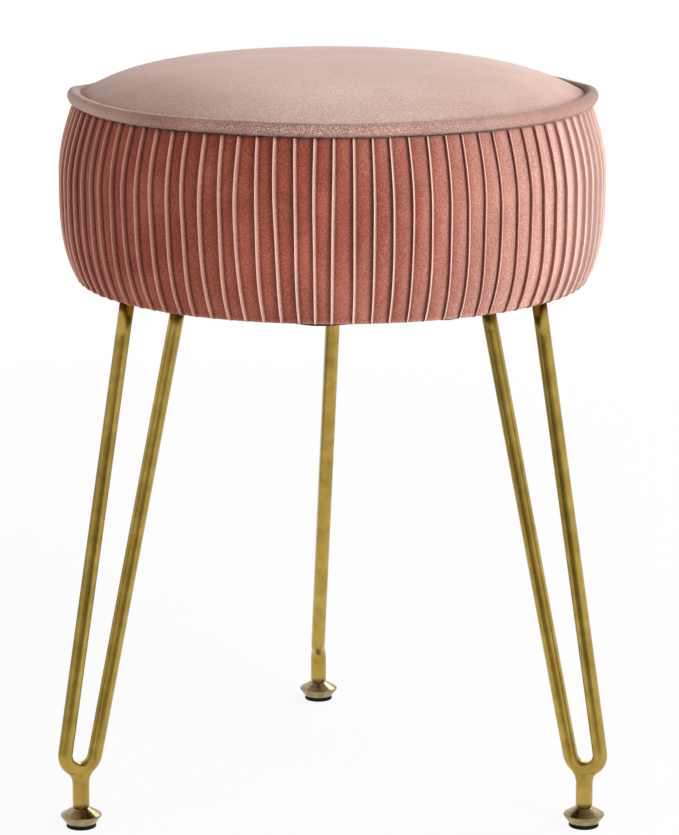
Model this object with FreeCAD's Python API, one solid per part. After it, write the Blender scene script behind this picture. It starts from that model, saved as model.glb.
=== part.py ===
"""Round vanity stool: a pleated velvet drum seat on three hairpin rod legs.

Millimetres, +Z up. The origin is on the floor, on the seat's axis, and the back leg stands at +Y.
Every leg piece is drawn at azimuth 0, in the XZ plane, and is then turned to its leg's azimuth.
The back leg is set on a little askew: its rod leans to the left, and its foot stands upright below.
"""
import FreeCAD, Part
import math
import os

Vector = FreeCAD.Vector
UP = Vector(0, 0, 1)

# Whole stool
HEIGHT = 460.0
LEG_AZIMUTHS = {"left": 210.0, "right": 330.0, "back": 90.0}
SOFT_GAP = 0.3
SEAM_GAP = 0.1
RUNNING_GAP = 0.05
CUT_MARGIN = 5.0

# Side of the seat: a drum that swells between its lip and its piping
LIP_HEIGHT = 326.5
LIP_RADIUS = 4.0
BULGE_HEIGHT = 393.0
BULGE_RADIUS = 168.0
SHOULDER_HEIGHT = 435.0
SHOULDER_DROP = 9.3
SHOULDER_POWER = 1.75
SKIRT_HEIGHT = 330.0
SKIRT_DROP = 8.9
SKIRT_POWER = 3.4
BAND_TOP = 435.1
BAND_THICKNESS = 2.4
HEM_THICKNESS = 0.8
HEM_RECESS = 0.9
HEM_INNER_RADIUS = 132.0
LIP_INNER_RADIUS = 149.0
LIP_SECTION_TURNS_DEG = (0, 25, 50, 90)
SIDE_SECTION_COUNT = 11
WALL_POINT_COUNT = 9

# Pin tucks, which stand on the band like thin fins
TUCK_COUNT = 90
FIRST_TUCK_AZIMUTH_DEG = 1.6
TUCK_HEIGHT = 2.7
TUCK_FOOT_WIDTH = 3.2
TUCK_TIP_WIDTH = 1.8
TUCK_TIP_ROUND = 0.7
TUCK_LIP_SHARE = 0.6

# Piping round the top edge, and the crowned top panel
PIPING_RING_RADIUS = 157.7
PIPING_HEIGHT = 440.0
PIPING_DIAMETER = 8.4
PIPING_CORD_DIAMETER = 5.9
PIPING_COVER_BORE = 6.0
SEAM_FLANGE_INNER_RADIUS = 151.5
SEAM_FLANGE_THICKNESS = 1.0
CROWN_RADIUS = 153.4
CROWN_POWER = 4.0
CROWN_POINT_SHARES = (0, 0.2, 0.4, 0.55, 0.7, 0.8, 0.9, 0.96, 1.0)
COVER_THICKNESS = 2.0

# Fill
BOARD_RADIUS = 150.0
BOARD_THICKNESS = 12.0
CORE_RADIUS = 148.0
CORE_TOP = 424.0

# Underside
DUST_COVER_RADIUS = 148.5
DUST_COVER_THICKNESS = 0.6
STAPLE_CIRCLE_RADIUS = 141.0
STAPLE_SPACING_DEG = 8.0
STAPLE_CLEAR_OF_LEG_DEG = 10.0
STAPLE_WIDTH = 10.0
STAPLE_WIRE = 0.6
STAPLE_LEG = 8.0

# Leg plate and its bolts
PLATE_INNER_RADIUS = 84.0
PLATE_OUTER_RADIUS = 145.7
PLATE_WIDTH = 30.0
PLATE_THICKNESS = 2.5
PLATE_CORNER = 5.0
BOLT_RADII_ON_SEAT = (92.0, 124.2)
BOLT_DIAMETER = 6.0
BOLT_HEAD_DIAMETER = 11.0
BOLT_HEAD_HEIGHT = 3.3
BOLT_HEAD_FLAT_DIAMETER = 6.6
BOLT_HEAD_RIM = 1.3
BOLT_END_BELOW_BOARD_TOP = 1.0
BOLT_KEY_WIDTH = 4.0
BOLT_KEY_DEPTH = 2.0
WASHER_DIAMETER = 12.5
WASHER_THICKNESS = 1.2
PLATE_HOLE_DIAMETER = 6.6
TEE_NUT_BARREL_DIAMETER = 8.0
TEE_NUT_BARREL_LENGTH = 10.2
TEE_NUT_FLANGE_DIAMETER = 18.0
TEE_NUT_FLANGE_THICKNESS = 1.2

# Hairpin rod
ROD_DIAMETER = 9.0
OUTER_ROD_TOP_RADIUS = 142.3
INNER_ROD_TOP_RADIUS = 106.2
BEND_RADIUS = 10.2
BEND_LOW_HEIGHT = 36.5
ROD_TRIM = 4.0
LEG_LEANS_DEG = {"left": 0.0, "right": 0.0, "back": 2.3}
LEAN_PIVOT_HEIGHT = 243.0

# Foot: a threaded socket, a stud, a turned disc and a rubber pad
FOOT_CIRCLE_RADIUS = 178.0
SOCKET_DIAMETER = 10.3
SOCKET_BOTTOM = 13.2
SOCKET_TOP = 35.0
SOCKET_BORE_TOP = 30.6
STUD_DIAMETER = 6.0
STUD_TOP = 30.4
STUD_BOTTOM = 5.9
STUD_CHAMFER = 0.8
DISC_DIAMETER = 25.4
DISC_BOTTOM = 2.7
DISC_BOTTOM_RADIUS = 9.7
DISC_RIM_HEIGHT = 7.4
DISC_RIM_BAND = 1.4
DISC_RIM_STEP = 0.5
DISC_TOP = 12.4
DISC_HUB_RADIUS = 5.2
PAD_DIAMETER = 18.4
PAD_TOP = 2.6
PAD_CHAMFER = 0.5
PEG_DIAMETER = 7.0
PEG_TOP = 4.7
PEG_RECESS_TOP = 4.9

# Heights that follow from the sizes above
PANEL_BULGE_RADIUS = BULGE_RADIUS - TUCK_HEIGHT
DUST_COVER_BOTTOM = LIP_HEIGHT + HEM_RECESS
HEM_BOTTOM = DUST_COVER_BOTTOM + DUST_COVER_THICKNESS
BOARD_BOTTOM = HEM_BOTTOM + HEM_THICKNESS
BOARD_TOP = BOARD_BOTTOM + BOARD_THICKNESS
PLATE_TOP = DUST_COVER_BOTTOM
PLATE_BOTTOM = PLATE_TOP - PLATE_THICKNESS
SEAM_FLANGE_BOTTOM = BAND_TOP + SEAM_GAP
SEAM_FLANGE_TOP = SEAM_FLANGE_BOTTOM + SEAM_FLANGE_THICKNESS
COVER_BOTTOM = SEAM_FLANGE_TOP + SEAM_GAP


def skirt_radius(height):
    """Radius of the flat panels between the tucks, above the rounded lip."""
    if height >= BULGE_HEIGHT:
        reach = (height - BULGE_HEIGHT) / (SHOULDER_HEIGHT - BULGE_HEIGHT)
        return PANEL_BULGE_RADIUS - SHOULDER_DROP * reach ** SHOULDER_POWER
    reach = (BULGE_HEIGHT - height) / (BULGE_HEIGHT - SKIRT_HEIGHT)
    return PANEL_BULGE_RADIUS - SKIRT_DROP * reach ** SKIRT_POWER


def panel_radius(height):
    """Radius of the panels at a height, with the quarter round of the lip at the bottom."""
    lip_centre_height = LIP_HEIGHT + LIP_RADIUS
    if height >= lip_centre_height:
        return skirt_radius(height)
    fall = min(lip_centre_height - height, LIP_RADIUS)
    lip_centre_radius = skirt_radius(lip_centre_height) - LIP_RADIUS
    return lip_centre_radius + math.sqrt(LIP_RADIUS ** 2 - fall ** 2)


def tuck_height(height):
    """Tucks stand at full height on the side and shrink as they turn under the lip."""
    rise = min(1.0, (height - LIP_HEIGHT) / (2 * LIP_RADIUS))
    return TUCK_HEIGHT * (TUCK_LIP_SHARE + (1 - TUCK_LIP_SHARE) * math.sin(rise * math.pi / 2))


def crown_height(radius, edge_radius, edge_height, rise):
    """Height of the crowned top: flat in the middle, falling fast to its edge."""
    return edge_height + rise * (1 - (radius / edge_radius) ** CROWN_POWER)


def on_circle(radius, angle, height):
    return Vector(radius * math.cos(angle), radius * math.sin(angle), height)


def solid_of_turning(wire_or_edges):
    """Solid of a closed half section in the XZ plane, turned once round Z."""
    wire = Part.Wire(wire_or_edges)
    return Part.Face(wire).revolve(Vector(0, 0, 0), UP, 360)


def section_edges(points):
    """Straight edges round a closed half section, given as (radius, height) pairs."""
    corners = [Vector(radius, 0, height) for radius, height in points]
    next_corners = corners[1:] + corners[:1]
    return [Part.LineSegment(start, end).toShape() for start, end in zip(corners, next_corners)]


def turned(points):
    return solid_of_turning(section_edges(points))


def smooth_edge(points):
    """One smooth edge through (radius, height) pairs in the XZ plane."""
    curve = Part.BSplineCurve()
    curve.interpolate([Vector(radius, 0, height) for radius, height in points])
    return curve.toShape()


def line_edge(start, end):
    return Part.LineSegment(Vector(start[0], 0, start[1]), Vector(end[0], 0, end[1])).toShape()


def washer(outer_diameter, inner_diameter, bottom, top):
    ring = Part.makeCylinder(outer_diameter / 2, top - bottom, Vector(0, 0, bottom))
    return ring.cut(Part.makeCylinder(inner_diameter / 2, top - bottom, Vector(0, 0, bottom)))


def moved(shape, x, y=0.0, z=0.0):
    copy = shape.copy()
    copy.translate(Vector(x, y, z))
    return copy


def turned_to(shape, azimuth):
    copy = shape.copy()
    copy.rotate(Vector(0, 0, 0), UP, azimuth)
    return copy


# Side band

def tuck_section(height):
    """Closed outline of the pleated band at one height: panel, fin, panel, fin, all the way round."""
    radius = panel_radius(height)
    tip_radius = radius + tuck_height(height)
    shoulder_radius = tip_radius - TUCK_TIP_ROUND * tuck_height(height) / TUCK_HEIGHT
    pitch = 2 * math.pi / TUCK_COUNT
    first = math.radians(FIRST_TUCK_AZIMUTH_DEG)
    foot = TUCK_FOOT_WIDTH / 2 / radius
    shoulder = TUCK_TIP_WIDTH / 2 / radius
    edges = []
    for index in range(TUCK_COUNT):
        angle = first + index * pitch
        left_foot = on_circle(radius, angle - foot, height)
        left_shoulder = on_circle(shoulder_radius, angle - shoulder, height)
        tip = on_circle(tip_radius, angle, height)
        right_shoulder = on_circle(shoulder_radius, angle + shoulder, height)
        right_foot = on_circle(radius, angle + foot, height)
        panel_middle = on_circle(radius, angle + pitch / 2, height)
        next_foot = on_circle(radius, angle + pitch - foot, height)
        edges.append(Part.LineSegment(left_foot, left_shoulder).toShape())
        edges.append(Part.Arc(left_shoulder, tip, right_shoulder).toShape())
        edges.append(Part.LineSegment(right_shoulder, right_foot).toShape())
        edges.append(Part.Arc(right_foot, panel_middle, next_foot).toShape())
    return Part.Wire(edges)


def band_section_heights():
    """Heights of the loft's sections: close together round the lip, then even steps up the side."""
    turns = [math.radians(turn) for turn in LIP_SECTION_TURNS_DEG]
    lip_heights = [LIP_HEIGHT + LIP_RADIUS * (1 - math.cos(turn)) for turn in turns]
    side_start = LIP_HEIGHT + 2 * LIP_RADIUS
    side_step = (BAND_TOP - side_start) / (SIDE_SECTION_COUNT - 1)
    return lip_heights + [side_start + side_step * index for index in range(SIDE_SECTION_COUNT)]


def band_inner_edge(offset, bottom, top):
    """Smooth edge parallel to the panels, a given distance inside them."""
    step = (top - bottom) / (WALL_POINT_COUNT - 1)
    heights = [bottom + step * index for index in range(WALL_POINT_COUNT)]
    return smooth_edge([(panel_radius(height) - offset, height) for height in heights])


def make_side_band():
    """Pleated velvet band, with its hem turned in under the board."""
    outside = Part.makeLoft([tuck_section(height) for height in band_section_heights()], True, False)
    below = LIP_HEIGHT - CUT_MARGIN
    above = BAND_TOP + CUT_MARGIN
    wall_bottom = (panel_radius(BOARD_BOTTOM) - BAND_THICKNESS, BOARD_BOTTOM)
    wall_top = (panel_radius(above) - BAND_THICKNESS, above)
    cavity = solid_of_turning([
        line_edge((0, below), (LIP_INNER_RADIUS, below)),
        line_edge((LIP_INNER_RADIUS, below), (LIP_INNER_RADIUS, HEM_BOTTOM)),
        line_edge((LIP_INNER_RADIUS, HEM_BOTTOM), (HEM_INNER_RADIUS, HEM_BOTTOM)),
        line_edge((HEM_INNER_RADIUS, HEM_BOTTOM), (HEM_INNER_RADIUS, BOARD_BOTTOM)),
        line_edge((HEM_INNER_RADIUS, BOARD_BOTTOM), wall_bottom),
        band_inner_edge(BAND_THICKNESS, BOARD_BOTTOM, above),
        line_edge(wall_top, (0, above)),
        line_edge((0, above), (0, below)),
    ])
    return outside.cut(cavity)


# Top panel, crown and piping

def crown_solid(edge_radius, bottom, edge_height, apex):
    """Crowned plug: straight sides up to its edge height, and a domed top."""
    rise = apex - edge_height
    radii = [edge_radius * share for share in CROWN_POINT_SHARES]
    dome = [(radius, crown_height(radius, edge_radius, edge_height, rise)) for radius in radii]
    return solid_of_turning([
        smooth_edge(dome),
        line_edge((edge_radius, edge_height), (edge_radius, bottom)),
        line_edge((edge_radius, bottom), (0, bottom)),
        line_edge((0, bottom), (0, apex)),
    ])


def make_top_cover():
    inner_apex = HEIGHT - COVER_THICKNESS
    inner_edge = PIPING_HEIGHT - COVER_THICKNESS
    outside = crown_solid(CROWN_RADIUS, COVER_BOTTOM, PIPING_HEIGHT, HEIGHT)
    inner_radius = CROWN_RADIUS - COVER_THICKNESS
    inside = crown_solid(inner_radius, COVER_BOTTOM - CUT_MARGIN, inner_edge, inner_apex)
    return outside.cut(inside)


def make_crown_pad():
    edge_radius = CROWN_RADIUS - COVER_THICKNESS - SOFT_GAP
    edge_height = PIPING_HEIGHT - COVER_THICKNESS - SOFT_GAP
    return crown_solid(edge_radius, CORE_TOP + SOFT_GAP, edge_height, HEIGHT - COVER_THICKNESS - SOFT_GAP)


def make_piping_cord():
    return Part.makeTorus(PIPING_RING_RADIUS, PIPING_CORD_DIAMETER / 2, Vector(0, 0, PIPING_HEIGHT))


def make_piping_cover():
    """Velvet tube round the cord, with the flange that the top seam catches."""
    centre = Vector(0, 0, PIPING_HEIGHT)
    tube = Part.makeTorus(PIPING_RING_RADIUS, PIPING_DIAMETER / 2, centre)
    outer_diameter = 2 * PIPING_RING_RADIUS
    inner_diameter = 2 * SEAM_FLANGE_INNER_RADIUS
    flange = washer(outer_diameter, inner_diameter, SEAM_FLANGE_BOTTOM, SEAM_FLANGE_TOP)
    bore = Part.makeTorus(PIPING_RING_RADIUS, PIPING_COVER_BORE / 2, centre)
    return tube.fuse(flange).cut(bore)


# Board and fill

def bolt_centres():
    """Azimuth and radius of every leg bolt."""
    azimuths = LEG_AZIMUTHS.values()
    return [(azimuth, radius) for azimuth in azimuths for radius in BOLT_RADII_ON_SEAT]


def at_every_bolt(shape):
    return [turned_to(moved(shape, radius), azimuth) for azimuth, radius in bolt_centres()]


def make_seat_board():
    """Plywood disc, drilled and counterbored from above for the tee nuts."""
    board = Part.makeCylinder(BOARD_RADIUS, BOARD_THICKNESS, Vector(0, 0, BOARD_BOTTOM))
    hole_radius = TEE_NUT_BARREL_DIAMETER / 2 + RUNNING_GAP
    hole = Part.makeCylinder(hole_radius, BOARD_THICKNESS, Vector(0, 0, BOARD_BOTTOM))
    sink_depth = TEE_NUT_FLANGE_THICKNESS + RUNNING_GAP
    sink_radius = TEE_NUT_FLANGE_DIAMETER / 2 + RUNNING_GAP
    sink = Part.makeCylinder(sink_radius, sink_depth, Vector(0, 0, BOARD_TOP - sink_depth))
    return board.cut(at_every_bolt(hole.fuse(sink)))


def make_tee_nuts():
    """Flanged barrels let in from above, one over each bolt hole."""
    top = BOARD_TOP - RUNNING_GAP
    barrel_foot = Vector(0, 0, top - TEE_NUT_BARREL_LENGTH)
    flange_foot = Vector(0, 0, top - TEE_NUT_FLANGE_THICKNESS)
    barrel = Part.makeCylinder(TEE_NUT_BARREL_DIAMETER / 2, TEE_NUT_BARREL_LENGTH, barrel_foot)
    flange = Part.makeCylinder(TEE_NUT_FLANGE_DIAMETER / 2, TEE_NUT_FLANGE_THICKNESS, flange_foot)
    bore_radius = BOLT_DIAMETER / 2 + RUNNING_GAP
    bore = Part.makeCylinder(bore_radius, BOARD_THICKNESS, Vector(0, 0, BOARD_BOTTOM))
    return Part.makeCompound(at_every_bolt(barrel.fuse(flange).cut(bore)))


def make_foam_core():
    bottom = BOARD_TOP + SOFT_GAP
    return Part.makeCylinder(CORE_RADIUS, CORE_TOP - bottom, Vector(0, 0, bottom))


def make_side_wadding():
    """Fibre ring that rounds the foam core out to the band."""
    bottom = BOARD_TOP + SOFT_GAP
    offset = BAND_THICKNESS + SOFT_GAP
    inner_radius = CORE_RADIUS + SOFT_GAP
    outer_bottom = (panel_radius(bottom) - offset, bottom)
    outer_top = (panel_radius(CORE_TOP) - offset, CORE_TOP)
    return solid_of_turning([
        band_inner_edge(offset, bottom, CORE_TOP),
        line_edge(outer_top, (inner_radius, CORE_TOP)),
        line_edge((inner_radius, CORE_TOP), (inner_radius, bottom)),
        line_edge((inner_radius, bottom), outer_bottom),
    ])


# Underside

def make_dust_cover():
    """Thin disc of cloth under the hem, pierced for the leg bolts."""
    foot = Vector(0, 0, DUST_COVER_BOTTOM)
    cloth = Part.makeCylinder(DUST_COVER_RADIUS, DUST_COVER_THICKNESS, foot)
    hole = Part.makeCylinder(PLATE_HOLE_DIAMETER / 2, DUST_COVER_THICKNESS, foot)
    return cloth.cut(at_every_bolt(hole))


def staple_azimuths():
    """Even steps round the seat, leaving out the ones that would lie under a leg plate."""
    count = int(round(360 / STAPLE_SPACING_DEG))
    azimuths = [index * STAPLE_SPACING_DEG for index in range(count)]

    def clear_of_legs(azimuth):
        gaps = [abs((azimuth - leg + 180) % 360 - 180) for leg in LEG_AZIMUTHS.values()]
        return min(gaps) > STAPLE_CLEAR_OF_LEG_DEG

    return [azimuth for azimuth in azimuths if clear_of_legs(azimuth)]


def make_staples():
    """Wire staples through dust cover and hem into the board, crowns lying round the rim."""
    bottom = DUST_COVER_BOTTOM - STAPLE_WIRE
    corner = Vector(STAPLE_CIRCLE_RADIUS - STAPLE_WIRE / 2, -STAPLE_WIDTH / 2, bottom)
    crown = Part.makeBox(STAPLE_WIRE, STAPLE_WIDTH, STAPLE_WIRE, corner)
    near_leg = Part.makeBox(STAPLE_WIRE, STAPLE_WIRE, STAPLE_LEG, corner)
    far_leg = moved(near_leg, 0, STAPLE_WIDTH - STAPLE_WIRE)
    staple = crown.fuse([near_leg, far_leg]).removeSplitter()
    return Part.makeCompound([turned_to(staple, azimuth) for azimuth in staple_azimuths()])


# Leg pieces

def make_leg_plate():
    length = PLATE_OUTER_RADIUS - PLATE_INNER_RADIUS
    corner = Vector(PLATE_INNER_RADIUS, -PLATE_WIDTH / 2, PLATE_BOTTOM)
    blank = Part.makeBox(length, PLATE_WIDTH, PLATE_THICKNESS, corner)
    upright = [edge for edge in blank.Edges if edge.BoundBox.ZLength > PLATE_THICKNESS / 2]
    plate = blank.makeFillet(PLATE_CORNER, upright)
    hole = Part.makeCylinder(PLATE_HOLE_DIAMETER / 2, PLATE_THICKNESS, Vector(0, 0, PLATE_BOTTOM))
    return plate.cut([moved(hole, radius) for radius in BOLT_RADII_ON_SEAT])


def make_leg_bolts():
    """Button-head bolts with a hexagon key socket, up through washer, plate and tee nut."""
    head_top = PLATE_BOTTOM - WASHER_THICKNESS
    head_bottom = head_top - BOLT_HEAD_HEIGHT
    shank_length = BOARD_TOP - BOLT_END_BELOW_BOARD_TOP - head_top
    shank = Part.makeCylinder(BOLT_DIAMETER / 2, shank_length, Vector(0, 0, head_top))
    head_radius = BOLT_HEAD_DIAMETER / 2
    head = turned([
        (0, head_bottom), (BOLT_HEAD_FLAT_DIAMETER / 2, head_bottom),
        (head_radius, head_top - BOLT_HEAD_RIM), (head_radius, head_top), (0, head_top),
    ])
    key_radius = BOLT_KEY_WIDTH / math.sqrt(3)
    key_corners = [on_circle(key_radius, math.radians(60 * step), head_bottom) for step in range(7)]
    key = Part.Face(Part.makePolygon(key_corners)).extrude(Vector(0, 0, BOLT_KEY_DEPTH))
    bolt = head.fuse(shank).cut(key)
    return Part.makeCompound([moved(bolt, radius) for radius in BOLT_RADII_ON_SEAT])


def make_leg_washers():
    top = PLATE_BOTTOM
    ring = washer(WASHER_DIAMETER, PLATE_HOLE_DIAMETER, top - WASHER_THICKNESS, top)
    return Part.makeCompound([moved(ring, radius) for radius in BOLT_RADII_ON_SEAT])


def tangent_point(outside_point, centre, radius, side):
    """Where a line from a point above touches a circle, on the side given as +1 or -1 along X."""
    away = outside_point - centre
    reach = away.Length
    heading = math.atan2(away.z, away.x)
    opening = math.acos(radius / reach)
    angle = heading - side * opening
    return centre + Vector(radius * math.cos(angle), 0, radius * math.sin(angle))


def foot_offset(lean):
    """How far beside the leg's radial plane its foot stands, for a lean in degrees."""
    return (LEAN_PIVOT_HEIGHT - BEND_LOW_HEIGHT - BEND_RADIUS) * math.tan(math.radians(lean))


def make_hairpin(lean):
    """One rod: down the outside, round the bend at the foot, up the inside, cut flat at the plate."""
    centre = Vector(FOOT_CIRCLE_RADIUS, 0, BEND_LOW_HEIGHT + BEND_RADIUS)
    outer_top = Vector(OUTER_ROD_TOP_RADIUS, 0, PLATE_BOTTOM)
    inner_top = Vector(INNER_ROD_TOP_RADIUS, 0, PLATE_BOTTOM)
    outer_touch = tangent_point(outer_top, centre, BEND_RADIUS, 1)
    inner_touch = tangent_point(inner_top, centre, BEND_RADIUS, -1)
    outer_run = outer_touch - outer_top
    outer_start = outer_top - outer_run.normalize() * ROD_TRIM
    inner_run = inner_top - inner_touch
    inner_end = inner_top + inner_run.normalize() * ROD_TRIM
    lowest = centre - Vector(0, 0, BEND_RADIUS)
    path = Part.Wire([
        Part.LineSegment(outer_start, outer_touch).toShape(),
        Part.Arc(outer_touch, lowest, inner_touch).toShape(),
        Part.LineSegment(inner_touch, inner_end).toShape(),
    ])
    round_bar = Part.Wire(Part.makeCircle(ROD_DIAMETER / 2, outer_start, outer_touch - outer_start))
    rod = path.makePipeShell([round_bar], True, False)
    rod.rotate(Vector(0, 0, LEAN_PIVOT_HEIGHT), Vector(1, 0, 0), lean)
    span = 4 * ROD_DIAMETER
    trim_corner = Vector(INNER_ROD_TOP_RADIUS - span, -span, PLATE_BOTTOM)
    trim_length = OUTER_ROD_TOP_RADIUS - INNER_ROD_TOP_RADIUS + 2 * span
    return rod.cut(Part.makeBox(trim_length, 2 * span, span, trim_corner))


def make_foot_socket(hairpin, beside):
    """Round stub welded under the bend, coped to the rod and bored for the stud."""
    axis_foot = Vector(FOOT_CIRCLE_RADIUS, beside, SOCKET_BOTTOM)
    stub = Part.makeCylinder(SOCKET_DIAMETER / 2, SOCKET_TOP - SOCKET_BOTTOM, axis_foot)
    bore_radius = STUD_DIAMETER / 2 + RUNNING_GAP
    bore = Part.makeCylinder(bore_radius, SOCKET_BORE_TOP - SOCKET_BOTTOM, axis_foot)
    return stub.cut([hairpin, bore])


def make_foot_stud():
    radius = STUD_DIAMETER / 2
    return turned([
        (0, STUD_BOTTOM), (radius, STUD_BOTTOM), (radius, STUD_TOP - STUD_CHAMFER),
        (radius - STUD_CHAMFER, STUD_TOP), (0, STUD_TOP),
    ])


def make_foot_disc():
    """Turned disc like two shallow cones set rim to rim, with a blind hole each way."""
    rim_radius = DISC_DIAMETER / 2
    half_band = DISC_RIM_BAND / 2
    disc = turned([
        (0, DISC_BOTTOM), (DISC_BOTTOM_RADIUS, DISC_BOTTOM),
        (rim_radius - DISC_RIM_STEP, DISC_RIM_HEIGHT - half_band), (rim_radius, DISC_RIM_HEIGHT),
        (rim_radius - DISC_RIM_STEP, DISC_RIM_HEIGHT + half_band),
        (DISC_HUB_RADIUS, DISC_TOP), (0, DISC_TOP),
    ])
    stud_seat = Vector(0, 0, STUD_BOTTOM)
    stud_hole_radius = STUD_DIAMETER / 2 + RUNNING_GAP / 2
    stud_hole = Part.makeCylinder(stud_hole_radius, DISC_TOP - STUD_BOTTOM, stud_seat)
    recess_foot = Vector(0, 0, DISC_BOTTOM)
    recess_radius = PEG_DIAMETER / 2 + RUNNING_GAP
    peg_recess = Part.makeCylinder(recess_radius, PEG_RECESS_TOP - DISC_BOTTOM, recess_foot)
    return disc.cut([stud_hole, peg_recess])


def make_foot_pad():
    """Rubber pad that stays still on the floor while the disc turns on its peg."""
    radius = PAD_DIAMETER / 2
    return turned([
        (0, 0), (radius - PAD_CHAMFER, 0), (radius, PAD_CHAMFER), (radius, PAD_TOP),
        (PEG_DIAMETER / 2, PAD_TOP), (PEG_DIAMETER / 2, PEG_TOP), (0, PEG_TOP),
    ])


def make_leg(lean):
    """All pieces of one leg, at azimuth 0."""
    hairpin = make_hairpin(lean)
    beside = foot_offset(lean)
    return {
        "leg_plate": make_leg_plate(),
        "leg_bolts": make_leg_bolts(),
        "leg_washers": make_leg_washers(),
        "hairpin": hairpin,
        "foot_socket": make_foot_socket(hairpin, beside),
        "foot_stud": moved(make_foot_stud(), FOOT_CIRCLE_RADIUS, beside),
        "foot_disc": moved(make_foot_disc(), FOOT_CIRCLE_RADIUS, beside),
        "foot_pad": moved(make_foot_pad(), FOOT_CIRCLE_RADIUS, beside),
    }


def make_seat():
    return {
        "seat_board": make_seat_board(),
        "tee_nuts": make_tee_nuts(),
        "foam_core": make_foam_core(),
        "side_wadding": make_side_wadding(),
        "crown_pad": make_crown_pad(),
        "top_cover": make_top_cover(),
        "side_band": make_side_band(),
        "piping_cord": make_piping_cord(),
        "piping_cover": make_piping_cover(),
        "dust_cover": make_dust_cover(),
        "staples": make_staples(),
    }


def main():
    os.makedirs("parts", exist_ok=True)
    pieces = make_seat()
    for side, azimuth in LEG_AZIMUTHS.items():
        for name, shape in make_leg(LEG_LEANS_DEG[side]).items():
            pieces[name + "_" + side] = turned_to(shape, azimuth)
    for name, shape in pieces.items():
        shape.exportStep("parts/" + name + ".step")
        volume = shape.Volume / 1000
        print(f"{name}: {len(shape.Solids)} solids, {volume:.2f} cm3, valid {shape.isValid()}")


main()
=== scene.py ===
"""Round vanity stool in dusty pink velvet, on three gold hairpin legs.

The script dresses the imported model, in metres and in the model's own frame, +Z up and -Y to the front.
Velvet, piping, tucked band, dust cover, welded stubs and turned feet are surfaces worked out as arrays.
"""
import math

import bpy
import numpy as np
from mathutils import Matrix, Vector


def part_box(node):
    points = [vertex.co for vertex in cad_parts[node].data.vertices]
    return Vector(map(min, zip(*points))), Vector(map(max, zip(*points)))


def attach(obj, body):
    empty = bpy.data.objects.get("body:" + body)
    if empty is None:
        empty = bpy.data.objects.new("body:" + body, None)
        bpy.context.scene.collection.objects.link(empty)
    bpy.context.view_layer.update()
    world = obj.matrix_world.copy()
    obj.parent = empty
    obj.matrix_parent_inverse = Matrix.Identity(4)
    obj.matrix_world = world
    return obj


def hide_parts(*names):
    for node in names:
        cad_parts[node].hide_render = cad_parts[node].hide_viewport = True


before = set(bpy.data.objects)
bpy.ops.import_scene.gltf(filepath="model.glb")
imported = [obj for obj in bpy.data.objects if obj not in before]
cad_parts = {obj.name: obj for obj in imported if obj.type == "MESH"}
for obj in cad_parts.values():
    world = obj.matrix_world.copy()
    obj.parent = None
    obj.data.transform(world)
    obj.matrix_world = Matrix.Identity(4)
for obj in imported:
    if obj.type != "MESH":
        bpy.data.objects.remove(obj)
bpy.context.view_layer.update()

TAU = 2 * math.pi
LEG_HEADINGS_DEG = {"left": 210, "right": 330, "back": 90}
FRONT_DEG = 270

# Random ripples: their seed, and the peak that a sum of sines seldom passes, in roots of their number
SEED = 11
RIPPLE_PEAK = 1.4
SEAT_DEPTH = 0.11

# The photograph's frame in pixels, and the camera that was fitted to the whole stool
PICTURE_WIDTH = 679
PICTURE_HEIGHT = 835
CAMERA_PLACE = (-0.0160, -2.2360, 0.7389)
CAMERA_DOWN_DEG = 12.653
CAMERA_LEFT_DEG = -0.526
CAMERA_ROLL_DEG = 0.109
FOCAL_PIXELS = 3675.9
SENSOR_MM = 36.0

# Side band: it swells between its lip and the piping
LIP_HEIGHT = 0.3265
LIP_RADIUS = 0.0040
BULGE_HEIGHT = 0.3930
BAND_TOP = 0.4351
SHOULDER_DROP = 0.0093
SHOULDER_POWER = 1.75
SHOULDER_REACH = 0.0420
SKIRT_DROP = 0.0089
SKIRT_POWER = 3.4
SKIRT_REACH = 0.0630
BAND_WALL = 0.0024
BAND_UNDERSIDE_RADIUS = 0.1490

# Rows of the band's grid down its side, round its lip and up its inner wall
SIDE_ROWS = 44
LIP_ROWS = 9
WALL_ROWS = 7

# Places round the seat: degrees from +X, and how many degrees each reaches to both sides
# Roughed-up pile in front, where the velvet carries its most painted glints
RUFFLED_GLINT_FRONT = (268, 32)
GATHERED_LEFT = (188, 13)
# Painted shade on the piping at the right
SHADED_PIPING_RIGHT = (350, 30)
LOOSE_RIM_MIDDLE = (266.5, 7)
LOOSE_RIM_RIGHT = (297, 4)

# The top seam sinks behind, a little more on the left
SINK_RIGHT = 0.0028
SINK_LEFT = 0.0046

# Pin tucks: folds of velvet stitched close behind their crest, which all lean clockwise
TUCK_COUNT = 90
TUCK_PITCH = TAU / TUCK_COUNT
FRONT_TUCK_DEG = 269.6
TUCK_HEIGHT = 0.0027
TUCK_FOOT_HALF = 0.00080
TUCK_CREST_HALF = 0.00032
TUCK_SQUARENESS = 0.55
TUCK_LEAN = 0.0010
TUCK_LEAN_POWER = 1.5
TUCK_LIP_SHARE = 0.6
TUCK_UNEVENNESS = 0.06
TUCK_SCATTER_DEG = 0.12
TUCK_WANDER_DEG = 0.18
LEFT_DRIFT_DEG = 1.25
FRONT_DRIFT_DEG = -0.5
PANEL_PILLOW = 0.0005
PADDING_SLACK = 0.0004
FOLD_POINTS = 9
PANEL_POINTS = 7

# Pile of the tucks: painted highlight along each crest, and painted shade in the corners beside and under a
# fold
CREST_HIGHLIGHT_POWER = 9
BESIDE_TUCK_SHADE = 0.7
BESIDE_TUCK_REACH = 0.0006
UNDER_TUCK_SHADE = 0.6
UNDER_TUCK_REACH = 0.0018

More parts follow.
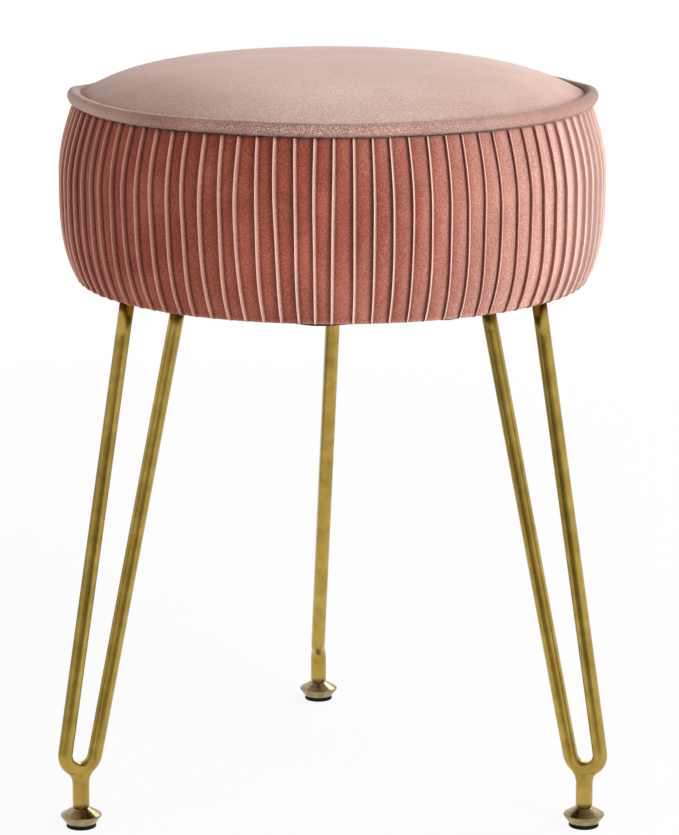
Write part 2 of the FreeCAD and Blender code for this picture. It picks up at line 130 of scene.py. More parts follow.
# Crown
CROWN_RADIUS = 0.1565
CROWN_POWER = 4.0
CROWN_RISE_OVER_MODEL = 0.0003
CROWN_LEFT = 0.0045
CROWN_SINK_POWER = 20
CROWN_SLACK = 0.0004
CROWN_EDGE_SHARE = 0.985
CROWN_HEM_SHARE = 0.998
CROWN_HEM_RISE = 0.0015
CROWN_ROWS = 56
COVER_THICKNESS = 0.0020
GATHER_COUNT = 96
GATHER_POINTS = 8
GATHER_DEPTH = 0.0006
GATHER_START_SHARE = 0.90

# Piping and its filler cord
PIPING_RING_RADIUS = 0.1577
PIPING_HEIGHT = 0.4400
PIPING_RADIUS = 0.0042
PIPING_UNEVENNESS = 0.022
PIPING_WANDER = 0.0004
PIPING_BUMPS = 0.00007
PUCKER_DEPTH = 0.00016
PIPING_COLUMNS = 900
PIPING_ROWS = 22
FILLER_RADIUS = 0.00295

# Dust cover: stapled flat, with a rim that hangs loose, most of all at two places in front
DUST_COVER_THICKNESS = 0.0004
STAPLED_RADIUS = 0.141
RIM_HANG = 0.0006
RIM_WAVE = 0.0008
LOOSE_RIM_HANG = 0.0024
DUST_COVER_SAG = 0.0005
DUST_COVER_COLUMNS = 360

# Hairpin rod
FOOT_CIRCLE_RADIUS = 0.178
OUTER_ROD_TOP = 0.1423
INNER_ROD_TOP = 0.1062
BEND_RADIUS = 0.0102
BEND_CENTRE_HEIGHT = 0.0467
ROD_RADIUS = 0.0045
ROD_COLUMNS = 40
BACK_LEAN_DEG = 2.3
LEAN_PIVOT_HEIGHT = 0.243

# Stub under the bend: bored for the foot's stud, and flared where it is welded to the rod
STUB_RADIUS = 0.00515
STUB_RINGS = (0.004, 0.009)
BORE_RADIUS = 0.0031
BORE_TOP = 0.0306
FLARE_START = 0.0272
FLARE_CORNER_SHARE = 0.65
FLARE_ROWS = 10
WELD_HALF_LENGTH = 0.0098
WELD_HALF_WIDTH = 0.00435
WELD_OVERLAP = 0.0001

# Turned disc and rubber pad of each foot
TURNED_COLUMNS = 96
EDGE_CHAMFER = 0.0004
DISC_BASE_RADIUS = 0.0097
DISC_RIM_RADIUS = 0.0127
DISC_NECK_RADIUS = 0.0058
DISC_RIM_SHARE = 0.485
DISC_BEVEL = 0.0006
DISC_SMALL_BEVEL = 0.0005
RIM_LAND_BELOW = 0.0009
RIM_LAND_ABOVE = 0.0008
PAD_RADIUS = 0.0092
PAD_HEIGHT = 0.0026
GROOVE_HEIGHT = 0.0014
GROOVE_HALF = 0.0003
PEG_RADIUS = 0.0035

# Velvet: its pile lies in patches of about 42 mm, with painted glints on its tips and painted shade deep in
# a seam
PATCHES_PER_METRE = 24.0
PAINTED_GLINT_COLOUR = "#fff1e8"
PAINTED_GLINT_MOST = 0.9
CREVICE_SHADE_COLOUR = "#3c1610"
CREVICE_SHADE_MOST = 0.85
SHEEN_COLOUR = "#ffece2"

# Studio
WHITE = (1, 1, 1, 1)
FLOOR_HALF = 14.0
FLOOR_CARD_HEIGHT = 0.002
CEILING_CARD_HEIGHT = 2.2
CEILING_CARD_HALF = 1.5
GREY_CARD_GLOW = 0.4
SEAT_MIDDLE = (0, 0, 0.38)


# Materials

def linear(hex_colour):
    """Linear RGBA of an sRGB hex colour."""
    channels = [int(hex_colour[start:start + 2], 16) / 255 for start in (1, 3, 5)]
    return [c / 12.92 if c <= 0.04045 else ((c + 0.055) / 1.055) ** 2.4 for c in channels] + [1.0]


def blank_tree(owner):
    """Emptied node tree of a material or of the world."""
    owner.use_nodes = True
    owner.node_tree.nodes.clear()
    return owner.node_tree


def add_node(tree, kind, values=None, links=None, stops=(), **settings):
    """Adds one node, with its own settings, the values of its sockets and the outputs that feed them.

    stops are the positions and hex colours of a colour ramp, from the lowest up.
    """
    node = tree.nodes.new(kind)
    for name, setting in settings.items():
        setattr(node, name, setting)
    for socket, value in (values or {}).items():
        node.inputs[socket].default_value = value
    for socket, output in (links or {}).items():
        tree.links.new(output, node.inputs[socket])
    for number, (position, colour) in enumerate(stops):
        elements = node.color_ramp.elements
        element = elements[number] if number < len(elements) else elements.new(position)
        element.position = position
        element.color = linear(colour)
    return node


def new_material(name, values):
    """Material with one shader that takes the values: its tree, its shader and its object coordinates."""
    material = bpy.data.materials.new(name)
    tree = blank_tree(material)
    shader = add_node(tree, "ShaderNodeBsdfPrincipled", values)
    add_node(tree, "ShaderNodeOutputMaterial", links={"Surface": shader.outputs["BSDF"]})
    place = add_node(tree, "ShaderNodeTexCoord").outputs["Object"]
    return material, tree, shader, place


def mottled(name, stops, roughness, grain, metallic=0.0, bump=0.1, detail=3.0, specular=0.5):
    """Material with one noise that shifts its colour and its relief; grain is the real size of a blotch."""
    material, tree, shader, place = new_material(name, {"Roughness": roughness, "Metallic": metallic,
                                                        "Specular IOR Level": specular})
    noise = add_node(tree, "ShaderNodeTexNoise", {"Scale": 1 / grain, "Detail": detail},
                     {"Vector": place}).outputs["Fac"]
    colour = add_node(tree, "ShaderNodeValToRGB", links={"Fac": noise}, stops=stops).outputs["Color"]
    tree.links.new(colour, shader.inputs["Base Color"])
    relief = add_node(tree, "ShaderNodeBump", {"Strength": bump, "Distance": 0.0001}, {"Height": noise})
    tree.links.new(relief.outputs["Normal"], shader.inputs["Normal"])
    return material


def lacquer(material):
    """Clear coat over a finish."""
    shader = material.node_tree.nodes["Principled BSDF"]
    shader.inputs["Coat Weight"].default_value = 0.5
    shader.inputs["Coat Roughness"].default_value = 0.18
    return material


def painted_sheen_share(tree, nap, power):
    """Share of the painted sheen: a power of how far the eye skims the pile; nap is how far it leans round
    the seat.
    """
    round_seat = add_node(tree, "ShaderNodeTangent", direction_type="RADIAL", axis="Z").outputs["Tangent"]
    outward = add_node(tree, "ShaderNodeNewGeometry").outputs["Normal"]
    pile = add_node(tree, "ShaderNodeVectorMath", {1: (nap, nap, nap)}, {0: round_seat, 2: outward},
                    operation="MULTIPLY_ADD").outputs["Vector"]
    pile = add_node(tree, "ShaderNodeVectorMath", links={0: pile}, operation="NORMALIZE").outputs["Vector"]
    facing = add_node(tree, "ShaderNodeLayerWeight", {"Blend": 0.5}, {"Normal": pile}).outputs["Facing"]
    return add_node(tree, "ShaderNodeMath", {1: power}, {0: facing}, operation="POWER").outputs[0]


def make_velvet(name, pile_stops, pale, painted_sheen_power, painted_sheen_most, sheen, painted_glint_share, tints, nap=0.0,
                grain=0.0009):
    """Short-pile polyester velvet, deep where it is seen end on, with a painted sheen: paler where the eye
    skims the pile.

    Its colour is a ramp over patches and grain. Over that go the tints, each an attribute, the colour it
    moves the pile towards and how far, then the painted sheen, the painted glints of the tips, most of them
    in front, and the painted shade of the crevices. The pile is 0.2 mm thick, too fine to show, so its
    grain is drawn as coarse as it shows in the picture.
    """
    material, tree, shader, place = new_material(name, {
        "Roughness": 0.9, "Specular IOR Level": 0.1, "Sheen Weight": sheen, "Sheen Roughness": 0.5,
        "Sheen Tint": linear(SHEEN_COLOUR)})
    patches = add_node(tree, "ShaderNodeTexNoise",
                       {"Scale": PATCHES_PER_METRE, "Detail": 3.0, "Distortion": 0.6}, {"Vector": place})
    fibres = add_node(tree, "ShaderNodeTexNoise", {"Scale": 1 / grain, "Detail": 2.0, "Roughness": 0.7},
                      {"Vector": place}).outputs["Fac"]
    lean = add_node(tree, "ShaderNodeMix", {"Factor": 0.5}, {"A": patches.outputs["Fac"], "B": fibres},
                    data_type="FLOAT").outputs["Result"]
    colour = add_node(tree, "ShaderNodeValToRGB", links={"Fac": lean}, stops=pile_stops).outputs["Color"]
    attributes = dict.fromkeys(["ruffled_and_glint", "crevice_shade"] + [attribute for attribute, towards, most in tints])
    shares = {attribute: add_node(tree, "ShaderNodeAttribute", attribute_name=attribute).outputs["Fac"]
              for attribute in attributes}
    # Painted sheen: paler where the eye skims the pile, and more so on some fibres
    tips = add_node(tree, "ShaderNodeMapRange", {"From Min": 0.38, "From Max": 0.66,
                                                 "To Min": 0.6 * painted_sheen_most, "To Max": 1.35 * painted_sheen_most},
                    {"Value": fibres}).outputs["Result"]
    painted_sheen_paling = add_node(tree, "ShaderNodeMath", links={0: painted_sheen_share(tree, nap, painted_sheen_power), 1: tips},
                      operation="MULTIPLY").outputs[0]
    # Painted glints of the tips, strongest in front
    glint = add_node(tree, "ShaderNodeMapRange", {"From Min": 0.50, "From Max": 0.70},
                     {"Value": fibres}).outputs["Result"]
    raised = add_node(tree, "ShaderNodeMath", {1: 1 - painted_glint_share, 2: painted_glint_share},
                      {0: shares["ruffled_and_glint"]}, operation="MULTIPLY_ADD").outputs[0]
    painted_glints = add_node(tree, "ShaderNodeMath", links={0: glint, 1: raised},
                        operation="MULTIPLY").outputs[0]
    # Over the tints go the painted sheen, the painted glints and the painted shade of the crevices
    layers = [(shares[attribute], towards, most) for attribute, towards, most in tints]
    layers += [(painted_sheen_paling, pale, 1.0), (painted_glints, PAINTED_GLINT_COLOUR, PAINTED_GLINT_MOST),
               (shares["crevice_shade"], CREVICE_SHADE_COLOUR, CREVICE_SHADE_MOST)]
    for share, towards, most in layers:
        factor = add_node(tree, "ShaderNodeMath", {1: most}, {0: share}, operation="MULTIPLY").outputs[0]
        colour = add_node(tree, "ShaderNodeMix", {"B": linear(towards)}, {"Factor": factor, "A": colour},
                          data_type="RGBA").outputs["Result"]
    tree.links.new(colour, shader.inputs["Base Color"])
    relief = add_node(tree, "ShaderNodeBump", {"Strength": 0.4, "Distance": 0.0004}, {"Height": fibres})
    tree.links.new(relief.outputs["Normal"], shader.inputs["Normal"])
    return material


def make_materials():
    """Every finish of the stool, by name, with what it gives the eye.

    Its stops are levels of the noise, each with the colour there. A velvet's pale is the colour of its
    painted sheen.
    """
    return {
        # Brushed velvet pulled over a pad: dusty pink, with painted sheen where it curves away and a
        # painted highlight with painted glints in front
        "crown_velvet": make_velvet(
            "crown_velvet", [(0.36, "#ae7a6c"), (0.5, "#bd8b7d"), (0.64, "#cb9d90")], pale="#f0e4db",
            painted_sheen_power=1.5, painted_sheen_most=0.30, sheen=0.40, painted_glint_share=0.1,
            tints=[("ruffled_and_glint", "#f0d4c8", 0.36)]),
        # The same velvet stretched round a cord: its pile opens, so it is browner and greyer; it has
        # painted sheen on the left and along its top, and is darker in front
        "piping_velvet": make_velvet(
            "piping_velvet", [(0.36, "#8d5f53"), (0.5, "#a17265"), (0.64, "#b7897b")], pale="#e6cfc4",
            painted_sheen_power=2.2, painted_sheen_most=0.30, sheen=0.25, painted_glint_share=0.10,
            tints=[("ruffled_and_glint", "#6e453a", 0.25), ("painted_sheen", "#ecd8ce", 0.45)], grain=0.0006),
        # The same velvet in tucks: deep rose between the folds, with a painted highlight along each crest,
        # the lit side of each fold painted lighter on the left, and painted sheen on the right
        "tuck_velvet": make_velvet(
            "tucked_velvet", [(0.36, "#873c2c"), (0.5, "#9a4e3c"), (0.64, "#af6452")], pale="#eecfc4",
            painted_sheen_power=1.6, painted_sheen_most=0.46, sheen=0.08, painted_glint_share=0.06,
            tints=[("lit_flank", "#cf8c76", 0.6), ("painted_sheen", "#efe3dd", 0.52), ("crest", "#ffe2d4", 0.97)],
            nap=0.7),
        # Drawn steel rod, lacquered: an olive gold with soft long highlights, clouded every 11 mm
        "gold": lacquer(mottled(
            "gold_lacquered_steel", [(0.3, "#9e8130"), (0.5, "#b0923b"), (0.7, "#bea14a")],
            roughness=0.32, grain=0.011, metallic=1.0, bump=0.02, detail=4.0)),
        # Turned brass, polished and aged: a cool, greyish gold that mirrors the room
        "brass": mottled(
            "polished_antique_brass", [(0.3, "#877650"), (0.5, "#9a8962"), (0.7, "#a99972")],
            roughness=0.2, grain=0.004, metallic=1.0, bump=0.02),
        # Moulded rubber: near black and dull, its fine grit drawn at 0.9 mm so that it shows
        "rubber": mottled(
            "moulded_rubber", [(0.3, "#0b090a"), (0.7, "#151213")],
            roughness=0.6, grain=0.0009, bump=0.3, specular=0.15),
        # Bonded fibre cloth: black without gloss, its hair-fine fibres drawn as flecks of 1.1 mm
        "fleece": mottled(
            "black_nonwoven", [(0.3, "#0e0e10"), (0.7, "#26262a")], roughness=0.95, grain=0.0011, bump=0.6),
        # Sanded birch plywood: pale, warm and dull, with soft blotches of 6 mm
        "plywood": mottled(
            "birch_plywood", [(0.3, "#b8935f"), (0.7, "#d6b684")], roughness=0.7, grain=0.006, bump=0.2),
        # Cut polyurethane foam: cream, with open cells of 1.2 mm
        "foam": mottled(
            "cut_foam", [(0.3, "#ddd6be"), (0.7, "#f0ebd9")], roughness=0.95, grain=0.0012, bump=0.6),
        # Polyester wadding: white, fluffed into tufts of 2 mm
        "wadding": mottled(
            "polyester_wadding", [(0.3, "#e6e6e2"), (0.7, "#fafaf8")],
            roughness=1.0, grain=0.002, bump=0.7),
        # Twisted cord: off-white and dull, with strands of 1.5 mm
        "cord_filler": mottled(
            "twisted_filler_cord", [(0.3, "#d8d2c2"), (0.7, "#ece7da")],
            roughness=0.95, grain=0.0015, bump=0.5),
        # Zinc-plated steel: bright cool grey, with a faint spangle of 2 mm
        "zinc": mottled(
            "zinc_plated_steel", [(0.3, "#9a9ca0"), (0.7, "#bfc1c4")],
            roughness=0.32, grain=0.002, metallic=1.0, bump=0.05),
    }


def dress_model(finishes):
    """Finishes of the model's own parts that stay as they are."""
    wanted = {
        "seat_board": "plywood", "tee_nuts": "zinc", "foam_core": "foam", "side_wadding": "wadding",
        "crown_pad": "foam", "staples": "zinc",
    }
    by_leg = {"leg_plate": "gold", "leg_bolts": "zinc", "leg_washers": "zinc", "foot_stud": "zinc"}
    for side in LEG_HEADINGS_DEG:
        wanted.update({stem + "_" + side: finish for stem, finish in by_leg.items()})
    for node, finish in wanted.items():
        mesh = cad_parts[node].data
        mesh.materials.clear()
        mesh.materials.append(finishes[finish])


# Surfaces

def add_object(name, data):
    """New object of a mesh, lamp or camera, at the origin."""
    thing = bpy.data.objects.new(name, data)
    bpy.context.scene.collection.objects.link(thing)
    return thing


def grid_mesh(points, wrap_rows=False, poles=False):
    """Vertices, faces and kept numbers of a grid, rows by columns by 3, closed across its columns.

    wrap_rows joins the last row to the first; poles makes one point of the first row and of the last.
    Faces turn outwards: the volume inside them is positive.
    """
    rows, columns = points.shape[:2]
    index = np.arange(rows * columns).reshape(rows, columns)
    if poles:
        index[0] = index[0, 0]
        index[-1] = index[-1, 0]
    lower = index if wrap_rows else index[:-1]
    upper = np.roll(index, -1, axis=0) if wrap_rows else index[1:]
    quads = np.stack([lower, np.roll(lower, -1, 1), np.roll(upper, -1, 1), upper], -1).reshape(-1, 4)
    flat = points.reshape(-1, 3)
    first, second, third, fourth = (flat[quads[:, corner]] for corner in range(4))
    volume = np.sum(first * (np.cross(second, third) + np.cross(third, fourth)))
    if volume < 0:
        quads = quads[:, ::-1]
    kept, numbers = np.unique(quads, return_inverse=True)
    faces = [list(dict.fromkeys(face)) for face in numbers.reshape(quads.shape).tolist()]
    return flat[kept], faces, kept


def new_piece(name, points, finish, body, slot, stands_for, shares=None, **closing):
    """Object of a grid of points, smooth, at the origin, riding on its body; shares are its attributes."""
    vertices, faces, kept = grid_mesh(points, **closing)
    mesh = bpy.data.meshes.new(name)
    mesh.from_pydata(vertices.tolist(), [], faces)
    for attribute_name, values in (shares or {}).items():
        attribute = mesh.attributes.new(attribute_name, "FLOAT", "POINT")
        attribute.data.foreach_set("value", values.ravel()[kept].astype(np.float32))
    mesh.shade_smooth()
    mesh.materials.append(finish)
    piece = add_object(name, mesh)
    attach(piece, body)
    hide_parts(*stands_for)
    return piece


def around(radius, turn, height):
    """Points about the vertical axis, from their radius, angle and height."""
    return np.stack(np.broadcast_arrays(radius * np.cos(turn), radius * np.sin(turn), height), -1)


def smooth_step(low, high, value):
    """0 up to low and 1 from high on, with an S curve between them; low may be the larger of the two."""
    share = np.clip((value - low) / (high - low), 0, 1)
    return share * share * (3 - 2 * share)


def bell(value, centre, width):
    """1 at the centre, and less on both sides: the exponential of minus the square of the widths away."""
    return np.exp(-((value - centre) / width) ** 2)


def degrees_from(heading, turn):
    """Degrees between -180 and 180 from a heading to an angle; from the front they grow to the right."""
    return (np.degrees(turn) - heading + 180) % 360 - 180


def ripple(turn, height, seed, waves=6, most_turns=12, most_rises=3):
    """Smooth wandering between about -1 and 1: a sum of sines over the angle and the height.

    Each sine goes up to most_turns times round the seat and up to most_rises times over its depth.
    """
    draw = np.random.default_rng(SEED + seed)
    total = np.zeros(np.broadcast(turn, height).shape)
    for _ in range(waves):
        turns = draw.integers(1, most_turns + 1)
        rises = draw.uniform(-most_rises, most_rises)
        start = draw.uniform(0, TAU)
        total = total + np.sin(turns * turn + rises * TAU * height / SEAT_DEPTH + start)
    return total / math.sqrt(waves) / RIPPLE_PEAK


def bent(start, corner, end, way):
    """Point at a share of the way along the parabola that leaves start for the corner and ends at end."""
    return start * (1 - way) ** 2 + corner * 2 * way * (1 - way) + end * way ** 2


def seam_sink(turn):
    """How far the top seam lies below its height at the front: nothing in front, and most behind."""
    heading = (np.degrees(turn) + 90) % 360 - 90
    depth = SINK_RIGHT + (SINK_LEFT - SINK_RIGHT) * smooth_step(40, 140, heading)
    return depth * smooth_step(-4, 20, heading) * smooth_step(-4, 20, 180 - heading)


# Side band

def bulge_radius():
    """Radius of the flat panels where the side swells most: the model's half width less one tuck."""
    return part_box("side_band")[1].x - TUCK_HEIGHT


def skirt_radius(height, most):
    """Radius of the panels above the lip: a power curve down from the bulge, one each way."""
    above = np.clip((height - BULGE_HEIGHT) / SHOULDER_REACH, 0, None)
    below = np.clip((BULGE_HEIGHT - height) / SKIRT_REACH, 0, None)
    return most - SHOULDER_DROP * above ** SHOULDER_POWER - SKIRT_DROP * below ** SKIRT_POWER


def band_rows(most):
    """Radius, height and tuck share of each row: down the outside, round the lip, in and up the wall."""
    lip_centre = LIP_HEIGHT + LIP_RADIUS
    wall_foot = LIP_HEIGHT + BAND_WALL
    side = np.linspace(BAND_TOP, lip_centre, SIDE_ROWS)
    outside = [(skirt_radius(height, most), height, 1.0) for height in side]
    lip_radius = skirt_radius(lip_centre, most) - LIP_RADIUS
    lip = [(lip_radius + LIP_RADIUS * math.cos(turn), lip_centre - LIP_RADIUS * math.sin(turn), 1.0)
           for turn in np.linspace(0, TAU / 4, LIP_ROWS)[1:]]
    underside = [(BAND_UNDERSIDE_RADIUS, height, 0.0) for height in (LIP_HEIGHT, wall_foot)]
    wall = np.linspace(wall_foot, BAND_TOP, WALL_ROWS)[1:]
    inside = [(skirt_radius(max(height, lip_centre), most) - BAND_WALL, height, 0.0) for height in wall]
    return np.array(outside + lip + underside + inside)


def tuck_columns():
    """Offset across each tuck in metres, crest share, and share of the way to the next tuck.

    The crest share is a power of a sine. A fold is a rounded box that narrows towards its crest and leans
    with a power of the crest share. The columns of a panel are closest beside the folds.
    """
    turn = np.linspace(0, math.pi, FOLD_POINTS)
    rise = np.sin(turn) ** TUCK_SQUARENESS
    half = TUCK_CREST_HALF + (TUCK_FOOT_HALF - TUCK_CREST_HALF) * (1 - rise)
    box = np.sign(np.cos(turn)) * np.abs(np.cos(turn)) ** TUCK_SQUARENESS
    across = -half * box - TUCK_LEAN * rise ** TUCK_LEAN_POWER
    panel = (1 - np.cos(np.linspace(0, math.pi, PANEL_POINTS + 2)[1:-1])) / 2
    return across, rise, panel


def tuck_turns(across, panel, most):
    """Angle of each column: the folds at an even pitch, each a little aside, and the panels between."""
    draw = np.random.default_rng(SEED)
    scatter = math.radians(TUCK_SCATTER_DEG) * draw.standard_normal(TUCK_COUNT)
    centre = math.radians(FRONT_TUCK_DEG) + np.arange(TUCK_COUNT) * TUCK_PITCH + scatter
    following = np.append(centre[1:], centre[0] + TAU)
    foot = TUCK_FOOT_HALF / most
    here = centre[:, None] + TUCK_LEAN / most
    there = following[:, None] + TUCK_LEAN / most
    folds = here + across / most
    panels = here + foot + (there - here - 2 * foot) * panel
    return np.concatenate([folds, panels], 1).reshape(1, -1)


def every_tuck(on_fold, on_panel):
    """One row of values for all columns, from those of one fold and of the panel beside it."""
    return np.tile(np.concatenate([on_fold, on_panel]), TUCK_COUNT)[None, :]


def band_shares(from_front, share, crest, lit_side, crevice_shade):
    """Attributes of the band's pile, by degrees from the front: all painted light and shade.

    The painted highlight along the crests is strong in front, weaker on both sides and stronger again at
    the far left. On the left the side of each fold that faces the light is painted lighter and the painted
    shade of its crevices is deeper. On the right the pile has a painted sheen, and lighter painted shade.
    """
    # The left side, where the lit sides of the folds are painted lighter and the crevices' painted shade is
    # deeper
    facing_left = smooth_step(-12, -36, from_front)
    # Strength of the painted highlight along the crests
    crest_highlight = 0.38 + 0.62 * smooth_step(-32, -10, from_front) - 0.25 * smooth_step(20, 45, from_front)
    crest_highlight = crest_highlight + 0.40 * smooth_step(-62, -78, from_front)
    # Painted sheen on the right
    painted_sheen = smooth_step(46, 80, from_front) * smooth_step(150, 110, from_front)
    # Painted shade of the crevices: deeper on the left, lighter on the right
    depth = 1 + 0.4 * facing_left - 0.5 * smooth_step(10, 50, from_front)
    return {"crest": crest_highlight * crest ** CREST_HIGHLIGHT_POWER * share, "lit_flank": facing_left * lit_side * share,
            "painted_sheen": share * painted_sheen, "crevice_shade": crevice_shade * share * depth}


def make_side_band(finish):
    """Pin-tucked band: folds stand on a swelling drum, wander a little and lean towards the seam.

    Its radius is the drum's, plus the folds, the pillows between them and the slack of the padding. The
    folds are lower round the lip, and drift aside on their way down, on the left and at the front.
    """
    most = bulge_radius()
    radius, height, share = (column[:, None] for column in band_rows(most).T)
    across, rise, panel = tuck_columns()
    turn = tuck_turns(across, panel, most)
    flat = np.zeros(PANEL_POINTS)
    crest = every_tuck(rise, flat)
    # The side of each fold that faces the light, to be painted lighter
    lit_side = every_tuck(rise * (across > -TUCK_LEAN), flat)
    pillow = every_tuck(np.zeros(FOLD_POINTS), np.sin(math.pi * panel))
    width = most * TUCK_PITCH - 2 * TUCK_FOOT_HALF
    # Painted shade at the foot of each fold and in the corners beside and under it
    beside = BESIDE_TUCK_SHADE * np.exp(-panel * width / BESIDE_TUCK_REACH)
    under = UNDER_TUCK_SHADE * np.exp(-(1 - panel) * width / UNDER_TUCK_REACH)
    crevice_shade = every_tuck(BESIDE_TUCK_SHADE * (1 - rise) ** 2, beside + under)
    from_front = degrees_from(FRONT_DEG, turn)
    shares = band_shares(from_front, share, crest, lit_side, crevice_shade)
    fall = np.clip((BAND_TOP - height) / (BAND_TOP - LIP_HEIGHT), 0, 1)
    left_side = smooth_step(-2, -12, from_front) * smooth_step(-170, -110, from_front)
    drift = LEFT_DRIFT_DEG * left_side + FRONT_DRIFT_DEG * bell(from_front, -0.5, 2.5)
    wander = TUCK_WANDER_DEG * ripple(turn, height, 1, waves=10, most_turns=60, most_rises=1.2)
    turn = turn + np.radians(drift * fall + wander)
    lip_rise = np.clip((height - LIP_HEIGHT) / (2 * LIP_RADIUS), 0, 1)
    lip_share = TUCK_LIP_SHARE + (1 - TUCK_LIP_SHARE) * np.sin(lip_rise * TAU / 4)
    uneven = 1 + TUCK_UNEVENNESS * ripple(turn, height, 2, waves=10, most_turns=70, most_rises=2)
    out = TUCK_HEIGHT * crest * lip_share * uneven * share
    swell = PANEL_PILLOW * pillow * share * (1 + 0.5 * ripple(turn, height, 3, waves=12, most_turns=80))
    slack = PADDING_SLACK * share * ripple(turn, height, 4, waves=6, most_turns=7, most_rises=1)
    sunk = height - seam_sink(turn) * smooth_step(BULGE_HEIGHT, BAND_TOP, height)
    points = around(radius + out + swell + slack, turn, sunk)
    band = new_piece("side_band_velvet", points, finish, "stool", "velvet", ["side_band"], shares,
                     wrap_rows=True)


# Crown and piping

def crown_height(share, turn, apex):
    """Height of the crown at a share of its radius; the seam's sink stays close to its edge."""
    rise = (apex - PIPING_HEIGHT) * (1 - share ** CROWN_POWER)
    return PIPING_HEIGHT + rise - seam_sink(turn) * share ** CROWN_SINK_POWER


def at_front(turn):
    """1 in the middle of the front, where the pile is roughed up and its painted glints are strongest, and
    0 at the sides and behind.
    """
    return bell(np.degrees(turn), *RUFFLED_GLINT_FRONT)


def on_crown(share, turn, height):
    """Points at a share of the crown's radius; its middle sits a little left of the seat's axis."""
    points = around(CROWN_RADIUS * share, turn, height)
    points[..., 0] -= CROWN_LEFT * (1 - share ** 2)
    return points


def make_top_cover(finish):
    """Crown: it falls from its apex with a power of the radius, and small gathers ripple its edge.

    At the seam it turns down and runs back underneath, one thickness lower, which closes the piece.
    """
    low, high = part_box("top_cover")
    apex = high.z + CROWN_RISE_OVER_MODEL
    turn = np.linspace(0, TAU, GATHER_POINTS * GATHER_COUNT, endpoint=False)[None, :]
    share = np.sin(np.linspace(0, TAU / 4, CROWN_ROWS))[:, None]
    at_seam = smooth_step(CROWN_EDGE_SHARE, 1, share)
    near_edge = smooth_step(GATHER_START_SHARE, CROWN_EDGE_SHARE, share) * (1 - at_seam)
    at_left = bell(np.degrees(turn), *GATHERED_LEFT)
    loose = 0.05 + 0.12 * np.clip(ripple(turn, 0, 5, waves=6, most_turns=14), 0, 1) + 0.8 * at_left
    folds = np.sin(GATHER_COUNT * turn + 2.5 * ripple(turn, 0, 6, most_turns=30))
    gathers = GATHER_DEPTH * near_edge * loose * folds
    soft = CROWN_SLACK * (1 - share ** 6) * share * ripple(turn, CROWN_RADIUS * share, 7, waves=5,
                                                           most_turns=3, most_rises=1)
    top = on_crown(share, turn, crown_height(share, turn, apex) + gathers + soft)
    edge_share = np.array([1.0, CROWN_HEM_SHARE, CROWN_EDGE_SHARE])[:, None]
    edge_height = np.array([CROWN_HEM_RISE, 0.0, 0.0])[:, None] + low.z - seam_sink(turn)
    under_share = CROWN_EDGE_SHARE * np.linspace(1, 0, 8)[:, None]
    under_height = crown_height(under_share, turn, apex) - COVER_THICKNESS
    points = np.concatenate([top, on_crown(edge_share, turn, edge_height),
                             on_crown(under_share, turn, under_height)])
    # Roughed-up pile in front of the crown: painted glints and a painted highlight
    ruffled_and_glint = np.zeros(points.shape[:2])
    ruffled_and_glint[:len(share)] = at_front(turn) * smooth_step(0.25, 0.8, share)
    # Painted shade where the crown meets the piping
    crevice_shade = np.zeros(points.shape[:2])
    crevice_shade[:len(share)] = 0.7 * at_seam
    cover = new_piece("crown_cover", points, finish, "stool", "velvet", ["top_cover"],
                      {"ruffled_and_glint": ruffled_and_glint, "crevice_shade": crevice_shade}, poles=True)


def piping_shares(turn, round_tube, underneath):
    """Attributes of the piping's pile, by degrees from the front and degrees round the tube.

    In front its pile is roughed up and darker, with the most painted glints. It has a painted sheen on the
    left, a little at the front right and along its upper edge in front. It has painted shade underneath,
    inside against the crown, and on the right.
    """
    from_front = degrees_from(FRONT_DEG, turn)
    # Painted sheen on the left and a little at the front right
    painted_sheen = smooth_step(-35, -80, from_front) * smooth_step(-175, -110, from_front)
    painted_sheen = painted_sheen + 0.25 * bell(from_front, 35, 20)
    # Painted sheen along the upper edge in front
    upper_edge_sheen = bell(np.degrees(round_tube), 97, 14)
    upper_edge_sheen = upper_edge_sheen * smooth_step(-78, -50, from_front) * smooth_step(22, -8, from_front)
    # Painted shade inside against the crown, underneath and on the right
    inward_shade = np.clip(-np.cos(round_tube), 0, 1) ** 3 * np.clip(1 - np.sin(round_tube), 0, 1)
    right, reach = SHADED_PIPING_RIGHT
    right_shade = 0.5 * bell(degrees_from(right, turn), 0, reach)
    return {"ruffled_and_glint": at_front(turn) + 0 * round_tube, "painted_sheen": painted_sheen + 1.6 * upper_edge_sheen,
            "crevice_shade": np.clip(1.3 * underneath ** 2 + 0.7 * inward_shade + right_shade, 0, 1)}


